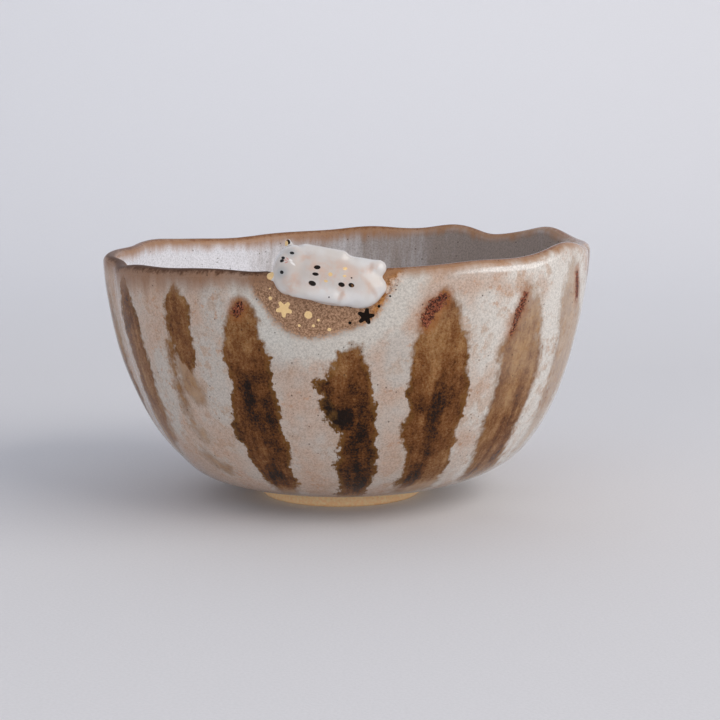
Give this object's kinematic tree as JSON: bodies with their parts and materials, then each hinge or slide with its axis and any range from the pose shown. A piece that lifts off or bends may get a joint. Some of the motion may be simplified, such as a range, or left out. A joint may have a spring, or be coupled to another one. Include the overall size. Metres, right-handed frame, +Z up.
{
  "type": "tea bowl",
  "caption": "Hand-built stoneware tea bowl with a wavy rim, fluted walls, brushed stripes and a small white bear lying in a dip of the rim.",
  "frame": {"origin": "middle of the whole piece's footprint, on the surface that the foot ring stands on", "axes": "+Z up, -Y towards the front, where the bear lies on the rim, +X to the right of the front view"},
  "size_m": [0.121, 0.125, 0.0676],
  "materials": {
    "stoneware_glaze": "satin off-white glaze over buff stoneware, with brown brushed iron stripes, a bare foot ring and gold lustre dots",
    "white_glaze": "glossy white glaze with small gold lustre spots"
  },
  "bodies": {
    "root": {"tea_bowl": "stoneware_glaze", "lying_bear": "white_glaze"}
  },
  "joints": []
}
